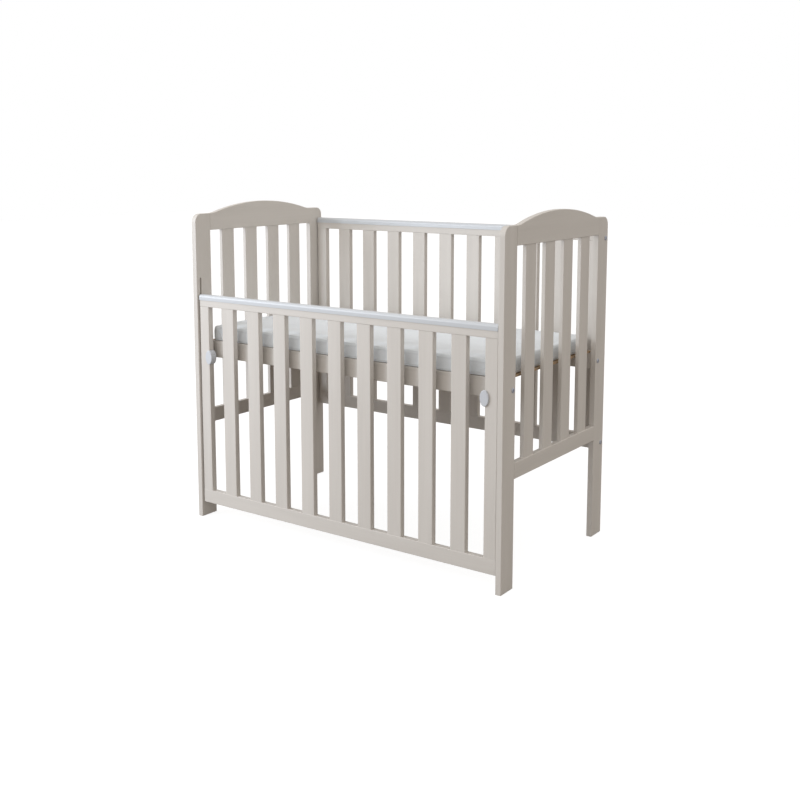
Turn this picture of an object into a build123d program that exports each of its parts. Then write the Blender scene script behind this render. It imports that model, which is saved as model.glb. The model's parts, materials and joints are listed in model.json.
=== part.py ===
from build123d import *
import math
import os

# Baby crib with a side that drops. Millimetres. X runs along the length, -Y is the front with the drop side,
# +Z is up. The origin is on the floor under the middle of the crib.

# ---- whole crib
crib_length = 1060.0        # outer face to outer face of the end panels
crib_depth = 579.0          # front to rear edge of the posts
post_height = 918.5
arch_rise = 30.5            # the arched rail's crown above the post tops

# ---- end panels
post_width = 60.0
end_thickness = 16.5
post_corner_radius = 24.0
edge_round = 1.5            # softened edges of rails and posts
arch_rail_drop = 49.8       # straight lower edge of the arched rail, below the post tops
arch_ease_radius = 100.0    # hollow curve that leads from post top into the arch
end_rail_low = 285.0
end_rail_height = 42.0
end_slat_count = 4
end_slat_width = 51.0
end_slat_thickness = 12.0

# ---- the two long sides, which share one pattern
side_thickness = 18.0
side_recess = 6.0           # set back from the posts' outer edge
side_end_gap = 3.5          # from the end panel to the side
side_height = 633.0         # wood only, without the cover
top_rail_height = 34.0
bottom_rail_height = 40.0
stile_width = 35.5
slat_count = 9
slat_width = 45.0
slat_thickness = 17.0
slat_round = 2.0
rear_side_drop = 35.0       # top of the rear side's wood below the post tops
drop_side_low = 46.0        # the drop side stands lowered

# ---- teething covers on the top rails
cover_wall = 1.8
cover_clearance = 0.15
cover_skirt = 14.7          # how far the skirts come down from the rail's top
rail_top_round = 6.0

# ---- tenons
tenon_length = 12.0
tenon_shoulder = 5.0        # wood left at each side of a tenon
tenon_clearance = 0.05
press_clearance = 0.05      # radial, round pins, bushes and bolts that are pressed or screwed in
mortise_relief = 1.0        # empty depth behind a tenon

# ---- drop side latches and guides
groove_width = 7.0
groove_depth = 8.0
groove_spare = 31.0         # groove above the latch bolt of the raised side
pin_clearance = 0.1         # radial, in the groove
bolt_clearance = 0.08       # radial, in the bush
latch_height = 448.5        # bolt axis above the side's lower edge
lock_depth = 5.0            # lock hole, deeper than the groove
bolt_tip_chamfer = 1.0
stile_bore_clearance = 0.3  # radial, round the latch bolt
floor_clearance = 0.2       # bolt tip to groove floor
knob_width = 25.5
knob_height = 41.5
knob_plate = 4.5
knob_round = 2.0
knob_clearance = 0.3        # to the stile
knob_back_inset = 1.4       # rear of the grip before the stile's rear face
bush_length = 8.0
bush_wall = 2.6
collar_width = 1.8          # collar beyond the bolt, radial
collar_length = 3.0
spring_wire = 1.1
spring_turns = 6
spring_seat = 4.5           # wood between spring and the stile's inner edge
spring_end_gap = 0.1
knob_socket = 10.0          # bolt inside the knob
guide_pin_bore = 25.0

# ---- base and mattress
base_rail_thickness = 18.0
base_rail_height = 50.0
base_rail_low = 490.0
base_rail_gap = 13.9        # from the rail to the long side beside it
base_bolt_height = 23.5     # bolt axis above the rail's lower edge
board_thickness = 3.5
board_rebate = 10.0         # width of the ledge that the board lies on, in each base rail
board_side_gap = 0.1
board_end_gap = 3.5         # from the board to the end panel
batten_count = 3
batten_width = 45.0
batten_thickness = 18.0
batten_tenon = 8.0
batten_spacing = 300.0
mattress_end_gap = 14.5     # from the mattress to the end panel
mattress_side_gap = 17.5    # from the mattress to the long side
mattress_thickness = 45.0
mattress_corner = 12.0
mattress_edge = 5.0

# ---- bolts with barrel nuts
bolt_radius = 3.0
bolt_length = 62.0
bolt_hole_clearance = 0.2
bolt_hole_spare = 4.0       # empty depth past the bolt's end
head_radius = 6.5
head_thickness = 2.2
hex_socket = 4.0
hex_depth = 1.6
nut_radius = 5.0
nut_length = 14.0
nut_inset = 37.0            # nut axis from the rail's end
rear_top_bolt_drop = 25.0   # bolt axis below the rail's top edge

# ---- worked out from the above
half_length = crib_length / 2
half_depth = crib_depth / 2
inner_x = half_length - end_thickness
panel_x = half_length - end_thickness / 2
side_length = 2 * (inner_x - side_end_gap)
side_y = half_depth - side_recess - side_thickness / 2
side_inner_y = side_y - side_thickness / 2
arch_rail_low = post_height - arch_rail_drop
rear_side_low = post_height - rear_side_drop - side_height
drop_travel = rear_side_low - drop_side_low     # raised, it stands level with the rear side
stile_inner_x = side_length / 2 - stile_width
pin_radius = groove_width / 2 - pin_clearance
groove_floor_x = inner_x + groove_depth
latch_z = drop_side_low + latch_height
groove_top = latch_z + drop_travel + groove_spare
bush_radius = pin_radius + bush_wall
collar_radius = pin_radius + collar_width
knob_depth = knob_plate + knob_clearance + side_thickness - knob_back_inset
guide_pin_z = drop_side_low + bottom_rail_height / 2
base_rail_offset = side_inner_y - base_rail_gap - base_rail_thickness / 2
base_inner_y = base_rail_offset - base_rail_thickness / 2
base_top = base_rail_low + base_rail_height
board_low = base_top - board_thickness
board_length = 2 * (inner_x - board_end_gap)
board_width = 2 * (base_inner_y + board_rebate - board_side_gap)
mattress_length = 2 * (inner_x - mattress_end_gap)
mattress_width = 2 * (side_inner_y - mattress_side_gap)
rear_top_bolt_z = rear_side_low + side_height - rear_top_bolt_drop
rear_low_bolt_z = rear_side_low + bottom_rail_height / 2
base_bolt_z = base_rail_low + base_bolt_height

os.makedirs("parts", exist_ok=True)


def save(name, *solids):
    """Write one named node; several solids make one group."""
    shape = solids[0] if len(solids) == 1 else Compound(children=list(solids))
    export_step(shape, f"parts/{name}.step")


def block(x0, x1, y0, y1, z0, z1):
    """A box between two corners."""
    middle = ((x0 + x1) / 2, (y0 + y1) / 2, (z0 + z1) / 2)
    return Pos(*middle) * Box(x1 - x0, y1 - y0, z1 - z0)


def column(x, y, width_x, width_y, z0, z1):
    """A box centred on (x, y) that stands from z0 to z1."""
    return block(x - width_x / 2, x + width_x / 2, y - width_y / 2, y + width_y / 2, z0, z1)


def soften(solid, axis, radius):
    """Round the long edges that run along an axis."""
    return fillet(solid.edges().filter_by(axis), radius)


def rod(start, length, radius, axis):
    """A round bar that begins at a point and runs along X, Y or Z, backwards where length is negative."""
    turn = {"x": (0, 90, 0), "y": (-90, 0, 0), "z": (0, 0, 0)}[axis]
    step = {"x": (length / 2, 0, 0), "y": (0, length / 2, 0), "z": (0, 0, length / 2)}[axis]
    middle = [a + b for a, b in zip(start, step)]
    return Pos(*middle) * Rot(*turn) * Cylinder(radius, abs(length))


def upright(x, y, width_x, width_y, z0, z1, radius, tenon_x, tenon_y):
    """A slat or stile between two rails, with a tenon at each end."""
    body = soften(column(x, y, width_x, width_y, z0, z1), Axis.Z, radius)
    return body + column(x, y, tenon_x, tenon_y, z0 - tenon_length, z1 + tenon_length)


def mortise(x, y, tenon_x, tenon_y, z_face, up):
    """The pocket for an upright's tenon, up or down from a rail's face."""
    depth = tenon_length + mortise_relief
    z0, z1 = (z_face, z_face + depth) if up else (z_face - depth, z_face)
    return column(x, y, tenon_x + 2 * tenon_clearance, tenon_y + 2 * tenon_clearance, z0, z1)


def bolt_bore(side, y, z):
    """The long hole of one bolt, from outside the post to past its nut."""
    depth = bolt_length + bolt_hole_spare
    return rod((side * half_length, y, z), -side * depth, bolt_radius + bolt_hole_clearance, "x")


def nut_bore(side, rail_end, y, z, rail_thickness, inward):
    """The blind cross hole of one barrel nut, drilled from the rail's face at y + inward."""
    face = y + inward * rail_thickness / 2
    depth = rail_thickness / 2 + nut_length / 2
    return rod((side * (rail_end - nut_inset), face, z), -inward * depth, nut_radius + press_clearance, "y")


# ---- end panels
def arch_outline():
    """The arched rail's face: straight below, hollow ease, round crown, hollow ease."""
    span = half_depth - post_width
    slope = 2 * math.atan(arch_rise / span)
    ease_y = span - arch_ease_radius * math.sin(slope)
    ease_z = post_height + arch_ease_radius * (1 - math.cos(slope))
    crown = (0, post_height + arch_rise)
    mid_y = span - arch_ease_radius * math.sin(slope / 2)
    mid_z = post_height + arch_ease_radius * (1 - math.cos(slope / 2))
    outline = [
        Line((-span, arch_rail_low), (span, arch_rail_low)),
        Line((span, arch_rail_low), (span, post_height)),
        ThreePointArc((span, post_height), (mid_y, mid_z), (ease_y, ease_z)),
        ThreePointArc((ease_y, ease_z), crown, (-ease_y, ease_z)),
        ThreePointArc((-ease_y, ease_z), (-mid_y, mid_z), (-span, post_height)),
        Line((-span, post_height), (-span, arch_rail_low)),
    ]
    return make_face(outline)


def in_panel(face, thickness, x):
    """Stand a face drawn as (y, z) upright and give it thickness along X, centred on x."""
    plane = Plane(origin=(x - thickness / 2, 0, 0), x_dir=(0, 1, 0), z_dir=(1, 0, 0))
    return extrude(plane * face, thickness)


def rail_tenons(x, z0, z1):
    """Tenons of an end-panel rail, which reach into both posts."""
    thickness = end_thickness - 2 * tenon_shoulder
    span = half_depth - post_width
    return block(x - thickness / 2, x + thickness / 2, -span - tenon_length, span + tenon_length,
                 z0 + tenon_shoulder, z1 - tenon_shoulder)


def rail_mortise(x, side_of_depth, z0, z1):
    """The pocket in a post for a rail's tenon."""
    half = end_thickness / 2 - tenon_shoulder + tenon_clearance
    inner = half_depth - post_width
    outer = inner + tenon_length + mortise_relief
    y0, y1 = sorted((side_of_depth * inner, side_of_depth * outer))
    return block(x - half, x + half, y0, y1, z0 + tenon_shoulder - tenon_clearance,
                 z1 - tenon_shoulder + tenon_clearance)


def post(side, front):
    """One post; front is -1 for the drop side's posts and 1 for the rear ones."""
    x = side * panel_x
    outer = front * half_depth
    inner = front * (half_depth - post_width)
    corner = post_corner_radius
    bend = corner * (1 - math.sqrt(0.5))
    outline = [
        Line((inner, 0), (outer, 0)),
        Line((outer, 0), (outer, post_height - corner)),
        ThreePointArc((outer, post_height - corner), (outer - front * bend, post_height - bend),
                      (outer - front * corner, post_height)),
        Line((outer - front * corner, post_height), (inner, post_height)),
        Line((inner, post_height), (inner, 0)),
    ]
    body = in_panel(make_face(outline), end_thickness, x)
    rims = body.faces().filter_by(Axis.X).edges()
    body = fillet(rims, edge_round)
    body -= rail_mortise(x, front, arch_rail_low, post_height)
    body -= rail_mortise(x, front, end_rail_low, end_rail_low + end_rail_height)
    if front < 0:
        body -= guide_groove(side)
        body -= bolt_bore(side, -base_rail_offset, base_bolt_z)
    else:
        body -= bolt_bore(side, base_rail_offset, base_bolt_z)
        body -= bolt_bore(side, side_y, rear_top_bolt_z)
        body -= bolt_bore(side, side_y, rear_low_bolt_z)
    return body


def guide_groove(side):
    """The stopped groove for guide pin and latch bolt, with the lock hole of the raised side."""
    low = guide_pin_z
    high = groove_top - groove_width / 2
    x0, x1 = sorted((side * inner_x, side * groove_floor_x))
    groove = block(x0, x1, -side_y - groove_width / 2, -side_y + groove_width / 2, low, high)
    for z in (low, high):
        groove += rod((side * inner_x, -side_y, z), side * groove_depth, groove_width / 2, "x")
    lock = rod((side * inner_x, -side_y, latch_z + drop_travel), side * (groove_depth + lock_depth),
               groove_width / 2, "x")
    return groove + lock


def end_panel(side, name):
    x = side * panel_x
    span = half_depth - post_width
    rail_top = end_rail_low + end_rail_height
    slat_tenon_x = end_slat_thickness - tenon_shoulder
    slat_tenon_y = end_slat_width - 2 * tenon_shoulder
    gap = (2 * span - end_slat_count * end_slat_width) / (end_slat_count + 1)
    centres = [-span + gap + end_slat_width / 2 + n * (end_slat_width + gap) for n in range(end_slat_count)]

    save(f"{name}_front_post", post(side, -1))
    save(f"{name}_rear_post", post(side, 1))

    arch = in_panel(arch_outline(), end_thickness, x)
    long_edges = [e for e in arch.faces().filter_by(Axis.X).edges() if not abs(e.tangent_at(0.5).Z) > 0.9]
    arch = fillet(long_edges, edge_round) + rail_tenons(x, arch_rail_low, post_height)
    foot = soften(block(x - end_thickness / 2, x + end_thickness / 2, -span, span, end_rail_low, rail_top),
                  Axis.Y, edge_round)
    foot += rail_tenons(x, end_rail_low, rail_top)
    for y in centres:
        arch -= mortise(x, y, slat_tenon_x, slat_tenon_y, arch_rail_low, True)
        foot -= mortise(x, y, slat_tenon_x, slat_tenon_y, rail_top, False)
    save(f"{name}_arch_rail", arch)
    save(f"{name}_bottom_rail", foot)
    for number, y in enumerate(centres, 1):
        slat = upright(x, y, end_slat_thickness, end_slat_width, rail_top, arch_rail_low, slat_round,
                       slat_tenon_x, slat_tenon_y)
        save(f"{name}_slat_{number}", slat)


# ---- long sides
def rail_cover(y, wood_top):
    """The plastic teething cover, an upturned channel over the top rail."""
    inner_half = side_thickness / 2 + cover_clearance
    outer_half = inner_half + cover_wall
    crown = wood_top + cover_clearance + cover_wall
    low = wood_top - cover_skirt
    outside = column(0, y, side_length, 2 * outer_half, low, crown)
    inside = column(0, y, 2 * side_length, 2 * inner_half, low - cover_wall, crown - cover_wall)
    return soften_top(outside, rail_top_round + cover_wall) - soften_top(inside, rail_top_round)


def soften_top(solid, radius):
    """Round the two upper long edges of a bar along X."""
    top = solid.faces().sort_by(Axis.Z)[-1]
    return fillet(top.edges().filter_by(Axis.X), radius)


def side_pieces(y, low):
    """Rails, stiles, slats and cover of one long side, as a dictionary of solids."""
    wood_top = low + side_height
    rail_face = wood_top - top_rail_height
    foot_face = low + bottom_rail_height
    half = side_length / 2
    y0, y1 = y - side_thickness / 2, y + side_thickness / 2
    gap = (2 * stile_inner_x - slat_count * slat_width) / (slat_count + 1)
    slat_xs = [-stile_inner_x + gap + slat_width / 2 + n * (slat_width + gap) for n in range(slat_count)]
    stile_x = half - stile_width / 2
    tenon_y = side_thickness - 2 * tenon_shoulder
    slat_tenon = slat_width - 2 * tenon_shoulder
    stile_tenon = stile_width - 2 * tenon_shoulder

    top = soften_top(block(-half, half, y0, y1, rail_face, wood_top), rail_top_round)
    lower_edges = top.faces().sort_by(Axis.Z)[0].edges().filter_by(Axis.X)
    top = fillet(lower_edges, edge_round)
    foot = soften(block(-half, half, y0, y1, low, foot_face), Axis.X, edge_round)
    wells = [(x, slat_tenon) for x in slat_xs] + [(-stile_x, stile_tenon), (stile_x, stile_tenon)]
    for x, tenon_x in wells:
        top -= mortise(x, y, tenon_x, tenon_y, rail_face, True)
        foot -= mortise(x, y, tenon_x, tenon_y, foot_face, False)

    pieces = {"top_rail": top, "bottom_rail": foot, "rail_cover": rail_cover(y, wood_top)}
    for side, name in ((-1, "left_stile"), (1, "right_stile")):
        pieces[name] = upright(side * stile_x, y, stile_width, side_thickness, foot_face, rail_face,
                               edge_round, stile_tenon, tenon_y)
    for number, x in enumerate(slat_xs, 1):
        pieces[f"slat_{number}"] = upright(x, y, slat_width, slat_thickness, foot_face, rail_face,
                                           slat_round, slat_tenon, tenon_y)
    return pieces


def rear_side():
    pieces = side_pieces(side_y, rear_side_low)
    for side, stile in ((-1, "left_stile"), (1, "right_stile")):
        for rail, z in (("top_rail", rear_top_bolt_z), ("bottom_rail", rear_low_bolt_z)):
            bores = bolt_bore(side, side_y, z)
            bores += nut_bore(side, side_length / 2, side_y, z, side_thickness, 1)
            pieces[rail] -= bores
            pieces[stile] -= bores      # the upper bolt passes through the stile's tenon
    for name, solid in pieces.items():
        save(f"rear_{name}", solid)


def drop_side():
    pieces = side_pieces(-side_y, drop_side_low)
    half = side_length / 2
    for side, name in ((-1, "left_stile"), (1, "right_stile")):
        mouth = (side * half, -side_y, latch_z)
        pieces[name] -= rod(mouth, -side * (stile_width - spring_seat), bush_radius, "x")
        pieces[name] -= rod(mouth, -side * stile_width, pin_radius + stile_bore_clearance, "x")
        pin_bore = rod((side * half, -side_y, guide_pin_z), -side * (guide_pin_bore + mortise_relief),
                       pin_radius + press_clearance, "x")
        pieces["bottom_rail"] -= pin_bore
    for name, solid in pieces.items():
        save(f"drop_{name}", solid)

    pin_tip = groove_floor_x - 2 * floor_clearance
    pins = [rod((side * (half - guide_pin_bore), -side_y, guide_pin_z),
                side * (pin_tip - half + guide_pin_bore), pin_radius, "x") for side in (-1, 1)]
    save("drop_guide_pins", *pins)


# ---- latches
def knob(side):
    """Oval grip: a plate over the stile's face and a half-oval core inboard of the stile's edge."""
    front = -side_y - side_thickness / 2 - knob_clearance - knob_plate
    oval = Plane(origin=(side * stile_inner_x, front, latch_z), x_dir=(1, 0, 0), z_dir=(0, -1, 0))
    face = oval * Ellipse(knob_width / 2, knob_height / 2)
    body = extrude(face, -knob_depth)
    body = fillet(body.edges().filter_by(GeomType.ELLIPSE), knob_round)
    edge_x = side * (stile_inner_x - knob_clearance)
    x0, x1 = sorted((edge_x, edge_x + side * knob_width))
    body -= block(x0, x1, front + knob_plate, front + 2 * knob_depth,
                  latch_z - knob_height, latch_z + knob_height)
    socket_end = stile_inner_x - knob_clearance - knob_socket
    return body - rod((side * stile_inner_x, -side_y, latch_z), side * (socket_end - stile_inner_x),
                      pin_radius + press_clearance, "x")


def latches():
    half = side_length / 2
    tip = groove_floor_x - floor_clearance
    root = stile_inner_x - knob_clearance - knob_socket + press_clearance
    collar_x = half - bush_length - lock_depth - collar_length
    seat_x = stile_inner_x + spring_seat
    mean_radius = collar_radius - spring_wire / 2
    springs, bushes = [], []
    for side, name in ((-1, "left"), (1, "right")):
        bolt = rod((side * root, -side_y, latch_z), side * (tip - root), pin_radius, "x")
        bolt = chamfer(bolt.edges().sort_by(Axis.X)[-1 if side > 0 else 0], bolt_tip_chamfer)
        bolt += rod((side * collar_x, -side_y, latch_z), side * collar_length, collar_radius, "x")
        save(f"{name}_latch_bolt", bolt)
        save(f"{name}_latch_knob", knob(side))

        length = collar_x - seat_x - spring_wire - 2 * spring_end_gap
        path = Helix(pitch=length / spring_turns, height=length, radius=mean_radius)
        section = Plane(origin=path @ 0, z_dir=path % 0) * Circle(spring_wire / 2)
        coil = sweep(section, path=path)
        start = min(side * (seat_x + spring_end_gap), side * (collar_x - spring_end_gap)) + spring_wire / 2
        springs.append(Pos(start, -side_y, latch_z) * Rot(0, 90, 0) * coil)

        bush = rod((side * half, -side_y, latch_z), -side * bush_length, bush_radius - press_clearance, "x")
        bush -= rod((side * half, -side_y, latch_z), -side * bush_length, pin_radius + bolt_clearance, "x")
        bushes.append(bush)
    save("latch_springs", *springs)
    save("latch_bushes", *bushes)


# ---- base and mattress
def base():
    batten_tenon_width = batten_width - 2 * tenon_shoulder
    batten_xs = [(n - (batten_count - 1) / 2) * batten_spacing for n in range(batten_count)]
    batten_z = board_low - batten_thickness / 2
    for front, name in ((-1, "front"), (1, "rear")):
        y = front * base_rail_offset
        rail = soften(block(-inner_x, inner_x, y - base_rail_thickness / 2, y + base_rail_thickness / 2,
                            base_rail_low, base_top), Axis.X, edge_round)
        ledge_y = sorted((front * base_inner_y, front * (base_inner_y + board_rebate)))
        rail -= block(-inner_x, inner_x, *ledge_y, board_low, base_top)
        for side in (-1, 1):
            rail -= bolt_bore(side, y, base_bolt_z)
            rail -= nut_bore(side, inner_x, y, base_bolt_z, base_rail_thickness, -front)
        for x in batten_xs:
            well_y = sorted((front * base_inner_y, front * (base_inner_y + tenon_length + mortise_relief)))
            half_x = batten_tenon_width / 2 + tenon_clearance
            half_z = batten_tenon / 2 + tenon_clearance
            rail -= block(x - half_x, x + half_x, *well_y, batten_z - half_z, batten_z + half_z)
        save(f"base_{name}_rail", rail)
    for number, x in enumerate(batten_xs, 1):
        batten = soften(block(x - batten_width / 2, x + batten_width / 2, -base_inner_y, base_inner_y,
                              board_low - batten_thickness, board_low), Axis.Y, edge_round)
        reach = base_inner_y + tenon_length
        batten += block(x - batten_tenon_width / 2, x + batten_tenon_width / 2, -reach, reach,
                        batten_z - batten_tenon / 2, batten_z + batten_tenon / 2)
        save(f"base_batten_{number}", batten)
    save("base_board", block(-board_length / 2, board_length / 2, -board_width / 2, board_width / 2,
                             board_low, base_top))


def mattress():
    pad = block(-mattress_length / 2, mattress_length / 2, -mattress_width / 2, mattress_width / 2,
                base_top, base_top + mattress_thickness)
    pad = soften(pad, Axis.Z, mattress_corner)
    rims = pad.faces().filter_by(Axis.Z).edges()
    save("mattress", fillet(rims, mattress_edge))


# ---- bolts and barrel nuts
def fasteners():
    bolts, nuts = [], []
    rear_rail_end = side_length / 2
    places = [
        (side_y, rear_top_bolt_z, rear_rail_end),
        (side_y, rear_low_bolt_z, rear_rail_end),
        (base_rail_offset, base_bolt_z, inner_x),
        (-base_rail_offset, base_bolt_z, inner_x),
    ]
    for side in (-1, 1):
        for y, z, rail_end in places:
            shank = rod((side * half_length, y, z), -side * bolt_length, bolt_radius, "x")
            head = rod((side * half_length, y, z), side * head_thickness, head_radius, "x")
            head = chamfer(head.edges().sort_by(Axis.X)[-1 if side > 0 else 0], head_thickness / 2)
            socket = Plane(origin=(side * (half_length + head_thickness), y, z), x_dir=(0, 1, 0),
                           z_dir=(side, 0, 0)) * RegularPolygon(hex_socket / 2, 6, major_radius=False)
            bolts.append(shank + head - extrude(socket, -hex_depth))
            nut = rod((side * (rail_end - nut_inset), y - nut_length / 2, z), nut_length, nut_radius, "y")
            nut -= rod((side * half_length, y, z), -side * half_length, bolt_radius + press_clearance, "x")
            nuts.append(nut)
    save("connector_bolts", *bolts)
    save("barrel_nuts", *nuts)


for panel_side, panel_name in ((-1, "left"), (1, "right")):
    end_panel(panel_side, panel_name)
rear_side()
drop_side()
latches()
base()
mattress()
fasteners()
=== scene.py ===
import json
import math

import bmesh
import bpy
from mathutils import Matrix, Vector, noise
from mathutils.bvhtree import BVHTree

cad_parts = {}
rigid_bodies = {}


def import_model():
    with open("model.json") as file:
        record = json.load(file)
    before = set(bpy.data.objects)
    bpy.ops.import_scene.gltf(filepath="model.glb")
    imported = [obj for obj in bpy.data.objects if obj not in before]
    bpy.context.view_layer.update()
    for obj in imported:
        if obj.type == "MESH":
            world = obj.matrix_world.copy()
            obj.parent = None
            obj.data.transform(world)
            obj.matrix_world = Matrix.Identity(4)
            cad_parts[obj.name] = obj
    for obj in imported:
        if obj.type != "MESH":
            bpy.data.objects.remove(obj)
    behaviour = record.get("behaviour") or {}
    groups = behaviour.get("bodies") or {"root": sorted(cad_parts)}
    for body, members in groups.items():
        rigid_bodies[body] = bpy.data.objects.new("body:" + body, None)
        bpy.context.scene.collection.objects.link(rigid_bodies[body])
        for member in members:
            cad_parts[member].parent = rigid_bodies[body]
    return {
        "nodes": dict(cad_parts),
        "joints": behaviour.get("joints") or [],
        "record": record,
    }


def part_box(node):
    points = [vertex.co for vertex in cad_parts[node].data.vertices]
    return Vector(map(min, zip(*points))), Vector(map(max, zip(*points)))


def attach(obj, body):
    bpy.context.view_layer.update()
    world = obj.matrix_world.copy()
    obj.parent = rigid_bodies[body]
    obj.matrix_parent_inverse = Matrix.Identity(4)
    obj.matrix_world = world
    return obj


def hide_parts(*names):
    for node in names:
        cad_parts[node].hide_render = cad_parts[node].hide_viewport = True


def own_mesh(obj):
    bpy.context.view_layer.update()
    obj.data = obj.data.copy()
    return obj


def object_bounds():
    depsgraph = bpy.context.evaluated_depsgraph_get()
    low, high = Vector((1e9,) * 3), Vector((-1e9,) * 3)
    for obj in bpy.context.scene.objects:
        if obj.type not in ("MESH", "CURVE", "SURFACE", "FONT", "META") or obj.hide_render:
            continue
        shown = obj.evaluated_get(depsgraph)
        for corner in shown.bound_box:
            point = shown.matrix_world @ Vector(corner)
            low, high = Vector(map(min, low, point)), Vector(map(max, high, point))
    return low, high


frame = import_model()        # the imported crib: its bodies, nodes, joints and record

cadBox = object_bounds()
scene = bpy.context.scene
slotOf = {part["node"]: part["material_slot"] for part in frame["record"]["subparts"]}
print("frame loaded,", len(frame["nodes"]), "nodes")


# camera, lamps and floor

camera = {
    "place": (1.7888, -2.4938, 1.0707),
    "turn": 35.383,          # degrees round Z
    "tilt": 7.613,           # degrees down
    "lens": 47.914,
    "shift": -0.12,
}

lamps = {
    "windowLamp": {
        "place": (-1.9, -2.0, 1.3),
        "size": (1.5, 1.5),
        "power": 43.0,
        "colour": (0.83, 0.90, 1.0),
    },
    "keyLamp": {
        "place": (-1.1, -3.3, 2.5),
        "size": (2.6, 2.0),
        "power": 16.0,
        "colour": (1.0, 1.0, 1.0),
    },
}

room = {
    "glow": (1.0, 0.96, 0.918),      # soft light from all round
    "strength": 0.83,
    "backdrop": (1.0, 1.0, 1.0),
}

floorPaper = {
    "size": 30.0,
    "shade": (0.24, 0.24, 0.24),     # carries the crib's faint shadow
    "whiteness": 0.88,               # the paper's own brightness in front of the camera
    "bounce": (0.30, 0.28, 0.26),    # what it throws back at the crib
}


def addNode(material, kind, **settings):
    node = material.node_tree.nodes.new(kind)
    for key, value in settings.items():
        if hasattr(node, key):
            setattr(node, key, value)
        else:
            node.inputs[key.replace("_", " ")].default_value = value
    return node


def link(material, output, target):
    material.node_tree.links.new(output, target)


def addObject(name, data):
    thing = bpy.data.objects.new(name, data)
    scene.collection.objects.link(thing)
    return thing


def placeCamera():
    eye = bpy.data.cameras.new("camera")
    eye.lens = camera["lens"]
    eye.sensor_width = 36.0
    eye.shift_y = camera["shift"]
    holder = addObject("camera", eye)
    holder.location = camera["place"]
    holder.rotation_euler = (math.radians(90 - camera["tilt"]), 0, math.radians(camera["turn"]))
    scene.camera = holder


def hangLamps():
    middle = (cadBox[0] + cadBox[1]) / 2
    for name, lamp in lamps.items():
        light = bpy.data.lights.new(name, "AREA")
        light.shape = "RECTANGLE"
        light.size, light.size_y = lamp["size"]
        light.energy = lamp["power"]
        light.color = lamp["colour"]
        holder = addObject(name, light)
        holder.location = lamp["place"]
        holder.rotation_euler = (middle - holder.location).to_track_quat("-Z", "Y").to_euler()


def paintRoom():
    world = bpy.data.worlds.new("room")
    world.use_nodes = True
    world.node_tree.nodes.clear()
    glow = addNode(world, "ShaderNodeBackground", Color=(*room["glow"], 1), Strength=room["strength"])
    backdrop = addNode(world, "ShaderNodeBackground", Color=(*room["backdrop"], 1))
    rays = addNode(world, "ShaderNodeLightPath")
    mix = addNode(world, "ShaderNodeMixShader")
    out = addNode(world, "ShaderNodeOutputWorld")
    link(world, rays.outputs["Is Camera Ray"], mix.inputs[0])
    link(world, glow.outputs[0], mix.inputs[1])
    link(world, backdrop.outputs[0], mix.inputs[2])
    link(world, mix.outputs[0], out.inputs[0])
    scene.world = world
    scene.view_settings.view_transform = "Standard"


def layFloor():
    paper = bpy.data.materials.new("floorPaper")
    paper.use_nodes = True
    paper.node_tree.nodes.clear()
    shaded = addNode(paper, "ShaderNodeBsdfDiffuse", Color=(*floorPaper["shade"], 1))
    lit = addNode(paper, "ShaderNodeEmission", Color=(1, 1, 1, 1), Strength=floorPaper["whiteness"])
    shown = addNode(paper, "ShaderNodeAddShader")
    bounced = addNode(paper, "ShaderNodeBsdfDiffuse", Color=(*floorPaper["bounce"], 1))
    rays = addNode(paper, "ShaderNodeLightPath")
    mix = addNode(paper, "ShaderNodeMixShader")
    out = addNode(paper, "ShaderNodeOutputMaterial")
    link(paper, shaded.outputs[0], shown.inputs[0])
    link(paper, lit.outputs[0], shown.inputs[1])
    link(paper, rays.outputs["Is Camera Ray"], mix.inputs[0])
    link(paper, bounced.outputs[0], mix.inputs[1])
    link(paper, shown.outputs[0], mix.inputs[2])
    link(paper, mix.outputs[0], out.inputs[0])

    bm = bmesh.new()
    bmesh.ops.create_grid(bm, x_segments=1, y_segments=1, size=floorPaper["size"] / 2)
    bmesh.ops.translate(bm, verts=bm.verts, vec=(0, 0, cadBox[0].z))
    mesh = bpy.data.meshes.new("floor")
    bm.to_mesh(mesh)
    bm.free()
    mesh.materials.append(paper)
    addObject("floor", mesh)


placeCamera()
hangLamps()
paintRoom()
layFloor()
print("studio ready")


# finishes

def newFinish(name, roughness):
    material = bpy.data.materials.new(name)
    material.use_nodes = True
    material.node_tree.nodes.clear()
    shader = addNode(material, "ShaderNodeBsdfPrincipled", Roughness=roughness)
    out = addNode(material, "ShaderNodeOutputMaterial")
    link(material, shader.outputs["BSDF"], out.inputs["Surface"])
    return material, shader


def stretched(material, scale):
    coordinates = addNode(material, "ShaderNodeTexCoord")
    mapping = addNode(material, "ShaderNodeMapping")
    mapping.inputs["Scale"].default_value = scale
    link(material, coordinates.outputs["Object"], mapping.inputs["Vector"])
    return mapping.outputs["Vector"]


def noiseOn(material, vector, scale, detail=3.0, roughness=0.55):
    texture = addNode(material, "ShaderNodeTexNoise", Scale=scale, Detail=detail, Roughness=roughness)
    link(material, vector, texture.inputs["Vector"])
    return texture.outputs[0]


def ramp(material, value, low, high):      # low and high are (place, colour)
    node = addNode(material, "ShaderNodeValToRGB")
    for element, (place, colour) in zip(node.color_ramp.elements, (low, high)):
        element.position = place
        element.color = (*colour, 1) if isinstance(colour, tuple) else (colour, colour, colour, 1)
    link(material, value, node.inputs["Fac"])
    return node.outputs["Color"]


def bump(material, shader, height, depth, strength=1.0):
    node = addNode(material, "ShaderNodeBump", Strength=strength, Distance=depth)
    link(material, height, node.inputs["Height"])
    link(material, node.outputs["Normal"], shader.inputs["Normal"])


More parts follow.
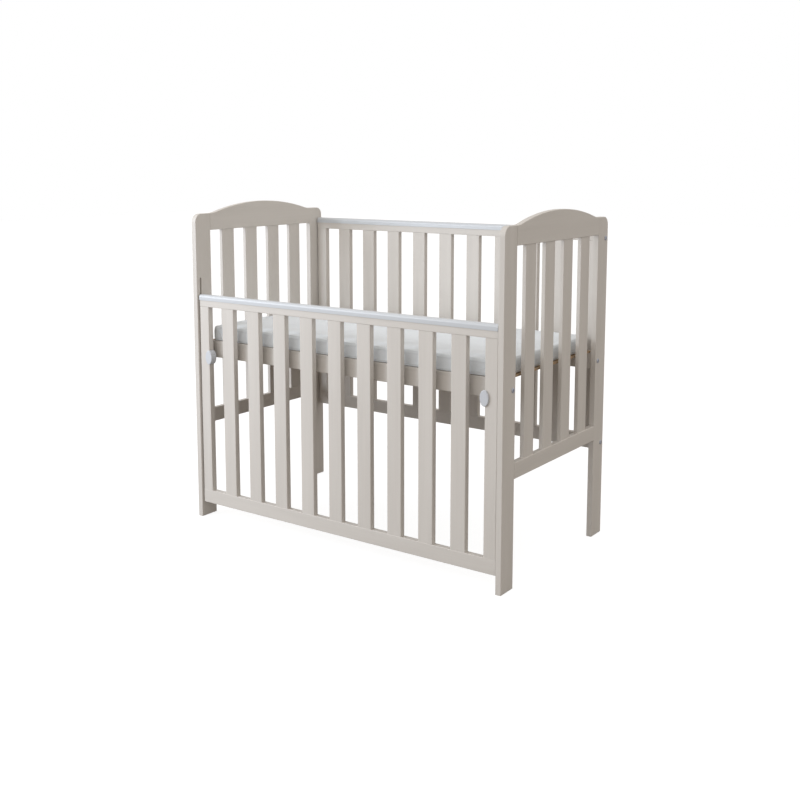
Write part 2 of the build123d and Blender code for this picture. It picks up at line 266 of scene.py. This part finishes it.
def maths(material, operation, first, second):
    node = addNode(material, "ShaderNodeMath", operation=operation)
    for socket, value in zip(node.inputs, (first, second)):
        if isinstance(value, (int, float)):
            socket.default_value = value
        else:
            link(material, value, socket)
    return node.outputs[0]


def blended(material, first, second, share):     # share of the first
    return maths(material, "ADD", maths(material, "MULTIPLY", first, share),
                 maths(material, "MULTIPLY", second, 1 - share))


def varyGloss(material, shader, pattern, glossiest, dullest):
    gloss = ramp(material, pattern, (0.3, glossiest), (0.7, dullest))
    link(material, gloss, shader.inputs["Roughness"])


paint = {
    "light": (0.665, 0.632, 0.592),
    "dark": (0.62, 0.587, 0.547),
    "roughness": 0.46,
    "glossChange": 0.065,
    "grainAcross": 260.0,     # grain lines per metre across the wood
    "grainAlong": 7.0,
    "streakAcross": 26.0,     # broad light and dark streaks
    "streakAlong": 1.6,
    "grainShare": 0.35,
    "toneSpan": (0.34, 0.62),     # where the dark colour ends and the light one starts
    "grainDepth": 0.00022,
    "grainStrength": 0.5,
    "shine": 0.42,
}


def paintedWood(axis):
    material, shader = newFinish("paintedWood" + "XYZ"[axis], paint["roughness"])
    grainScale = [paint["grainAcross"]] * 3
    grainScale[axis] = paint["grainAlong"]
    streakScale = [paint["streakAcross"]] * 3
    streakScale[axis] = paint["streakAlong"]
    grain = noiseOn(material, stretched(material, grainScale), 1.0, detail=4.0, roughness=0.6)
    streaks = noiseOn(material, stretched(material, streakScale), 1.0, detail=2.0)
    tone = blended(material, grain, streaks, paint["grainShare"])
    darkEnd, lightEnd = paint["toneSpan"]
    link(material, ramp(material, tone, (darkEnd, paint["dark"]), (lightEnd, paint["light"])),
         shader.inputs["Base Color"])
    varyGloss(material, shader, grain, paint["roughness"] - paint["glossChange"],
              paint["roughness"] + paint["glossChange"])
    bump(material, shader, grain, paint["grainDepth"], paint["grainStrength"])
    shader.inputs["Specular IOR Level"].default_value = paint["shine"]
    return material


coverLook = {
    "colour": (0.595, 0.62, 0.65),
    "roughness": 0.33,
    "glossChange": 0.02,
    "ripple": 380.0,          # extrusion ripple
    "rippleAlong": 0.25,      # drawn out along the rail
    "rippleDepth": 0.00002,
    "rippleStrength": 0.5,
    "cloud": 30.0,
    "cloudAlong": 0.3,
    "coat": 0.12,
    "coatRoughness": 0.12,
}


def coverPlastic():
    material, shader = newFinish("coverPlastic", coverLook["roughness"])
    shader.inputs["Base Color"].default_value = (*coverLook["colour"], 1)
    rippleSpace = stretched(material, (coverLook["rippleAlong"], 1, 1))
    ripple = noiseOn(material, rippleSpace, coverLook["ripple"], detail=1.0)
    bump(material, shader, ripple, coverLook["rippleDepth"], coverLook["rippleStrength"])
    cloud = noiseOn(material, stretched(material, (coverLook["cloudAlong"], 1, 1)), coverLook["cloud"])
    varyGloss(material, shader, cloud, coverLook["roughness"] - coverLook["glossChange"],
              coverLook["roughness"] + coverLook["glossChange"])
    shader.inputs["Coat Weight"].default_value = coverLook["coat"]
    shader.inputs["Coat Roughness"].default_value = coverLook["coatRoughness"]
    return material


knobLook = {
    "colour": (0.61, 0.635, 0.675),
    "roughness": 0.36,
    "grit": 2600.0,
    "gritDepth": 0.00004,
    "gritStrength": 0.4,
}


def latchPlastic():
    material, shader = newFinish("latchPlastic", knobLook["roughness"])
    shader.inputs["Base Color"].default_value = (*knobLook["colour"], 1)
    grit = noiseOn(material, stretched(material, (1, 1, 1)), knobLook["grit"], detail=2.0)
    bump(material, shader, grit, knobLook["gritDepth"], knobLook["gritStrength"])
    return material


steelLook = {"colour": (0.62, 0.62, 0.64), "roughness": 0.26, "lines": 1800.0, "lineAxis": 0}
zincLook = {"colour": (0.54, 0.57, 0.65), "roughness": 0.48, "lines": 900.0, "lineAxis": 1}

drawnLines = {
    "drawnOut": 0.05,         # the lower, the longer the lines along the bar
    "glossier": 0.08,
    "duller": 0.1,
    "depth": 0.00003,
    "strength": 0.3,
}


def metal(name, look):
    material, shader = newFinish(name, look["roughness"])
    shader.inputs["Base Color"].default_value = (*look["colour"], 1)
    shader.inputs["Metallic"].default_value = 1.0
    scale = [look["lines"]] * 3
    scale[look["lineAxis"]] = look["lines"] * drawnLines["drawnOut"]
    lines = noiseOn(material, stretched(material, scale), 1.0, detail=2.0)
    varyGloss(material, shader, lines, look["roughness"] - drawnLines["glossier"],
              look["roughness"] + drawnLines["duller"])
    bump(material, shader, lines, drawnLines["depth"], drawnLines["strength"])
    return material


boardLook = {
    "light": (0.50, 0.36, 0.22),
    "dark": (0.30, 0.19, 0.11),
    "fibre": 900.0,
    "fibreAlong": 0.35,
    "fibreShare": 0.6,
    "fibreDepth": 0.0003,
    "fibreStrength": 0.6,
    "cloud": 14.0,
    "toneSpan": (0.35, 0.65),
    "roughness": 0.72,
}


def rawBoard():
    material, shader = newFinish("rawBoard", boardLook["roughness"])
    fibreSpace = stretched(material, (1, boardLook["fibreAlong"], 1))
    fibre = noiseOn(material, fibreSpace, boardLook["fibre"], detail=5.0, roughness=0.7)
    cloud = noiseOn(material, stretched(material, (1, 1, 1)), boardLook["cloud"], detail=3.0)
    tone = blended(material, fibre, cloud, boardLook["fibreShare"])
    darkEnd, lightEnd = boardLook["toneSpan"]
    link(material, ramp(material, tone, (darkEnd, boardLook["dark"]), (lightEnd, boardLook["light"])),
         shader.inputs["Base Color"])
    bump(material, shader, fibre, boardLook["fibreDepth"], boardLook["fibreStrength"])
    return material


pineLook = {
    "light": (0.72, 0.545, 0.355),
    "dark": (0.56, 0.375, 0.205),
    "rings": 42.0,            # year rings per metre
    "wander": 5.0,
    "fibre": 700.0,
    "grainAlong": 0.06,       # rings and fibre drawn out along the batten
    "ringShare": 0.55,
    "fibreDepth": 0.0003,
    "fibreStrength": 0.5,
    "toneSpan": (0.2, 0.75),
    "roughness": 0.62,
}


def rawPine():
    material, shader = newFinish("rawPine", pineLook["roughness"])
    along = stretched(material, (1, pineLook["grainAlong"], 1))
    rings = addNode(material, "ShaderNodeTexWave", wave_type="RINGS", rings_direction="Y",
                    Scale=pineLook["rings"], Distortion=pineLook["wander"], Detail=2.0, Detail_Scale=1.4)
    link(material, along, rings.inputs["Vector"])
    fibre = noiseOn(material, along, pineLook["fibre"])
    tone = blended(material, rings.outputs["Fac"], fibre, pineLook["ringShare"])
    darkEnd, lightEnd = pineLook["toneSpan"]
    link(material, ramp(material, tone, (darkEnd, pineLook["dark"]), (lightEnd, pineLook["light"])),
         shader.inputs["Base Color"])
    bump(material, shader, fibre, pineLook["fibreDepth"], pineLook["fibreStrength"])
    return material


clothLook = {
    "light": (0.815, 0.86, 0.90),
    "dark": (0.74, 0.785, 0.825),
    "thread": 0.0011,         # metres from thread to thread
    "threadDepth": 0.00025,
    "threadStrength": 0.7,
    "wobble": 0.6,            # unevenness of the threads
    "cloud": 16.0,
    "weaveShare": 0.5,
    "toneSpan": (0.3, 0.62),
    "roughness": 0.9,
    "sheen": 0.25,
    "sheenRoughness": 0.5,
}


def mattressCloth():
    material, shader = newFinish("mattressCloth", clothLook["roughness"])
    place = stretched(material, (1, 1, 1))
    scale = math.pi / (10 * clothLook["thread"])      # a band wave repeats every pi / 10 at scale 1
    threads = []
    for direction in "XYZ":
        wave = addNode(material, "ShaderNodeTexWave", wave_type="BANDS", bands_direction=direction,
                       Scale=scale, Distortion=clothLook["wobble"], Detail=1.0)
        link(material, place, wave.inputs["Vector"])
        threads.append(wave.outputs["Fac"])
    weave = maths(material, "ADD", maths(material, "ADD", threads[0], threads[1]), threads[2])
    weave = maths(material, "MULTIPLY", weave, 1 / 3)
    cloud = noiseOn(material, place, clothLook["cloud"])
    tone = blended(material, weave, cloud, clothLook["weaveShare"])
    darkEnd, lightEnd = clothLook["toneSpan"]
    link(material, ramp(material, tone, (darkEnd, clothLook["dark"]), (lightEnd, clothLook["light"])),
         shader.inputs["Base Color"])
    bump(material, shader, weave, clothLook["threadDepth"], clothLook["threadStrength"])
    shader.inputs["Sheen Weight"].default_value = clothLook["sheen"]
    shader.inputs["Sheen Roughness"].default_value = clothLook["sheenRoughness"]
    return material


wood = [paintedWood(axis) for axis in range(3)]
finishes = {
    "cover_plastic": coverPlastic(),
    "latch_plastic": latchPlastic(),
    "steel": metal("brightSteel", steelLook),
    "zinc_steel": metal("zincSteel", zincLook),
    "raw_board": rawBoard(),
    "raw_pine": rawPine(),
    "mattress_fabric": mattressCloth(),
}


def dressNodes():
    for name, piece in frame["nodes"].items():
        finish = finishes.get(slotOf[name])
        if finish is None:                   # painted wood, with its grain along the piece
            low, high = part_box(name)
            size = high - low
            finish = wood[max(range(3), key=lambda axis: size[axis])]
        for holder in piece.material_slots:
            holder.material = finish


dressNodes()
print("finishes on every node")


# mattress

mattress = {
    "voxel": 0.007,
    "shrink": 0.001,          # the start is this much smaller all round
    "rearEase": 0.007,        # and stops this much shorter at the rear
    "pressure": 4.0,
    "stretch": 15,            # tension and compression stiffness of the cover
    "bending": 0.5,
    "weight": 0.3,
    "quality": 5,
    "frames": 20,
    "swell": 0.005,           # most that the cover may move
    "press": 0.016,           # height over which its weight squares the lower edge
    "fill": 0.85,
    "underGap": 0.0004,       # between the cover and the board
    "puckerDepth": 0.0012,
    "puckerScale": 21.0,
    "finePuckers": 2.7,       # how much finer the second pattern is
    "fineShare": 0.5,
    "flatShare": 0.35,        # of the puckers left in the middle
    "puckerReach": 0.03,      # how far the stronger puckers run in from the edges
}


def appliedMesh(thing, name):
    view = bpy.context.evaluated_depsgraph_get()
    view.update()
    mesh = bpy.data.meshes.new_from_object(thing.evaluated_get(view))
    mesh.name = name
    return mesh


def softShaded(mesh, slot):
    for face in mesh.polygons:
        face.use_smooth = True
    mesh.materials.clear()
    mesh.materials.append(finishes[slot])


def mattressShell(low, high):
    bm = bmesh.new()
    bm.from_mesh(frame["nodes"]["mattress"].data)
    bmesh.ops.remove_doubles(bm, verts=bm.verts, dist=1e-5)
    middle = (low + high) / 2
    spare = Vector((0, mattress["rearEase"], 0)) + 2 * Vector([mattress["shrink"]] * 3)
    share = [1 - less / side for less, side in zip(spare, high - low)]
    bmesh.ops.translate(bm, verts=bm.verts, vec=-middle)
    bmesh.ops.scale(bm, verts=bm.verts, vec=share)
    onBoard = middle - Vector((0, mattress["rearEase"] / 2, mattress["shrink"]))
    bmesh.ops.translate(bm, verts=bm.verts, vec=onBoard)
    mesh = bpy.data.meshes.new("mattressStart")
    bm.to_mesh(mesh)
    bm.free()
    start = addObject("mattressStart", mesh)
    remesh = start.modifiers.new("remesh", "REMESH")
    remesh.mode = "VOXEL"
    remesh.voxel_size = mattress["voxel"]
    shell = appliedMesh(start, "mattressShell")
    bpy.data.objects.remove(start)
    return shell


def swellMattress(pad):
    cloth = pad.modifiers.new("cloth", "CLOTH")
    settings = cloth.settings
    settings.quality = mattress["quality"]
    settings.mass = mattress["weight"]
    settings.tension_stiffness = settings.compression_stiffness = mattress["stretch"]
    settings.bending_stiffness = mattress["bending"]
    settings.use_pressure = True
    settings.uniform_pressure_force = mattress["pressure"]
    settings.effector_weights.gravity = 0
    cloth.collision_settings.use_collision = False
    for step in range(1, mattress["frames"] + 1):
        scene.frame_set(step)
    swollen = appliedMesh(pad, "mattressSwollen")
    most = mattress["swell"]
    normals = [vertex.normal.copy() for vertex in pad.data.vertices]
    for vertex, moved, normal in zip(pad.data.vertices, swollen.vertices, normals):
        move = moved.co - vertex.co
        move -= normal * min(move.dot(normal), 0)        # foam behind the cover: nothing sinks in
        reach = move.length
        if reach > 1e-9:
            vertex.co += move * (most * math.tanh(reach / most) / reach)
    pad.modifiers.remove(cloth)
    bpy.data.meshes.remove(swollen)
    scene.frame_set(1)


def settleMattress(pad, low, high):
    bottom = low.z + mattress["underGap"]
    press = mattress["press"]
    for vertex in pad.data.vertices:
        place = vertex.co
        inset = min(place.x - low.x, high.x - place.x, place.y - low.y, high.y - place.y)
        near = math.exp(-max(inset, 0) / mattress["puckerReach"])
        wave = noise.noise(place * mattress["puckerScale"])
        wave += mattress["fineShare"] * noise.noise(place * mattress["finePuckers"] * mattress["puckerScale"])
        lift = place.z - bottom
        if lift > press:
            place.z += wave * mattress["puckerDepth"] * (mattress["flatShare"] + near)
        else:
            place.z = bottom + max(lift, 0) ** 3 / press ** 2


def makeMattress():
    low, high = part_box("mattress")
    pad = addObject("mattressPad", mattressShell(low, high))
    swellMattress(pad)
    settleMattress(pad, low, high)
    smooth = pad.modifiers.new("subdivision", "SUBSURF")
    smooth.levels = smooth.render_levels = 1
    softShaded(pad.data, "mattress_fabric")
    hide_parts("mattress")
    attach(pad, "mattress")
    return pad


# seams and corner tucks of the mattress cover

seam = {
    "radius": 0.0011,
    "sink": 0.0005,           # its middle lies this deep in the cloth
    "fromEdge": 0.0085,       # below the top and above the underside
    "steps": 260,
    "corner": 8,              # the higher, the squarer the oblong that the rays start from
    "startAt": 1.2,           # times the cover's half size
}

tuck = {
    "length": 0.075,          # along the mattress's long side
    "height": 0.62,           # share of the mattress's thickness at the corner
    "fromEnd": 0.014,
    "cuts": 7,
    "lift": 0.0004,
    "thickness": 0.0009,
    "foldRadius": 0.0016,
    "foldNarrow": 9,          # the higher, the narrower the raised fold
    "startOff": 0.05,         # its flat shape starts this far outside the cover
}


def onCover(tree, start, inward):
    hit, normal, _, _ = tree.ray_cast(start, inward)
    if hit is None:
        hit, normal, _, _ = tree.find_nearest(start)
    return hit, normal


def sewSeams(tree):
    low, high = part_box("mattress")
    half = (high - low) / 2
    corner = seam["corner"]
    for name, level in (("seamTop", high.z - seam["fromEdge"]), ("seamBottom", low.z + seam["fromEdge"])):
        points = []
        for step in range(seam["steps"]):
            angle = 2 * math.pi * step / seam["steps"]
            flat = Vector((math.cos(angle), math.sin(angle), 0))
            stretch = (abs(flat.x) ** corner + abs(flat.y) ** corner) ** (-1 / corner)
            outer = Vector((flat.x * half.x, flat.y * half.y, 0)) * stretch * seam["startAt"]
            outer.z = level
            inner = Vector((outer.x * 0.5, outer.y * 0.5, level))
            place, normal = onCover(tree, outer, (inner - outer).normalized())
            points.append(place - normal * seam["sink"])
        line = bpy.data.curves.new(name, "CURVE")
        line.dimensions = "3D"
        line.bevel_depth = seam["radius"]
        line.bevel_resolution = 2
        spline = line.splines.new("NURBS")
        spline.points.add(len(points) - 1)
        for target, point in zip(spline.points, points):
            target.co = (*point, 1)
        spline.use_cyclic_u = True
        spline.order_u = 3
        spline.resolution_u = 2
        holder = addObject(name + "Line", line)
        mesh = appliedMesh(holder, name)
        bpy.data.objects.remove(holder)
        softShaded(mesh, "mattress_fabric")
        stitching = addObject(name, mesh)
        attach(stitching, "mattress")


def foldTuck(tree, name, end, side):
    low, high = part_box("mattress")
    thick = high.z - low.z
    cornerX = (high.x if end > 0 else low.x) - end * tuck["fromEnd"]
    outside = (high.y if side > 0 else low.y) + side * tuck["startOff"]
    foot = low.z + seam["fromEdge"]
    bm = bmesh.new()
    corners = [(cornerX, outside, foot), (cornerX - end * tuck["length"], outside, foot),
               (cornerX, outside, foot + tuck["height"] * thick)]
    bm.faces.new([bm.verts.new(corner) for corner in corners])
    bmesh.ops.subdivide_edges(bm, edges=bm.edges, cuts=tuck["cuts"], use_grid_fill=True)
    bmesh.ops.triangulate(bm, faces=bm.faces)
    for vertex in bm.verts:
        along = abs(vertex.co.x - cornerX) / tuck["length"]
        up = (vertex.co.z - foot) / (tuck["height"] * thick)
        roll = math.exp(-((1 - along - up) * tuck["foldNarrow"]) ** 2)      # the fold stands proud
        place, normal = onCover(tree, vertex.co, Vector((0, -side, 0)))
        vertex.co = place + normal * (tuck["lift"] + tuck["foldRadius"] * roll)
    bmesh.ops.recalc_face_normals(bm, faces=bm.faces)
    if sum(face.normal.y for face in bm.faces) * side > 0:
        bmesh.ops.reverse_faces(bm, faces=bm.faces)
    bmesh.ops.solidify(bm, geom=bm.faces[:], thickness=tuck["thickness"])
    bmesh.ops.recalc_face_normals(bm, faces=bm.faces)
    mesh = bpy.data.meshes.new(name)
    bm.to_mesh(mesh)
    bm.free()
    softShaded(mesh, "mattress_fabric")
    flap = addObject(name, mesh)
    smooth = flap.modifiers.new("subdivision", "SUBSURF")
    smooth.levels = smooth.render_levels = 1
    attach(flap, "mattress")


def finishCover(pad):
    tree = BVHTree.FromObject(pad, bpy.context.evaluated_depsgraph_get())
    sewSeams(tree)
    for endName, end in (("Left", -1), ("Right", 1)):
        for sideName, side in (("Front", -1), ("Rear", 1)):
            foldTuck(tree, "cornerTuck" + endName + sideName, end, side)


finishCover(makeMattress())
print("mattress, seams and corner tucks made")


# latch springs, one cut from the CAD coils for each latch and carried by that latch's parent body

springNames = {"left_latch_pull": "latchSpringLeft", "right_latch_pull": "latchSpringRight"}


def coilSpring(joint, node, seatX):
    bm = bmesh.new()
    bm.from_mesh(frame["nodes"][node].data)
    otherSide = [vertex for vertex in bm.verts if vertex.co.x * seatX < 0]
    bmesh.ops.delete(bm, geom=otherSide, context="VERTS")
    bmesh.ops.remove_doubles(bm, verts=bm.verts, dist=1e-6)
    name = springNames[joint["name"]]
    mesh = bpy.data.meshes.new(name)
    bm.to_mesh(mesh)
    bm.free()
    softShaded(mesh, "steel")
    coil = addObject(name, mesh)
    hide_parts(node)
    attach(coil, joint["parent"])
    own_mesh(coil)


for pull in frame["joints"]:
    for pressed in pull.get("deforming_nodes", []):
        coilSpring(pull, pressed["node"], pressed["fixed_end_x_m"])
print("latch springs made")
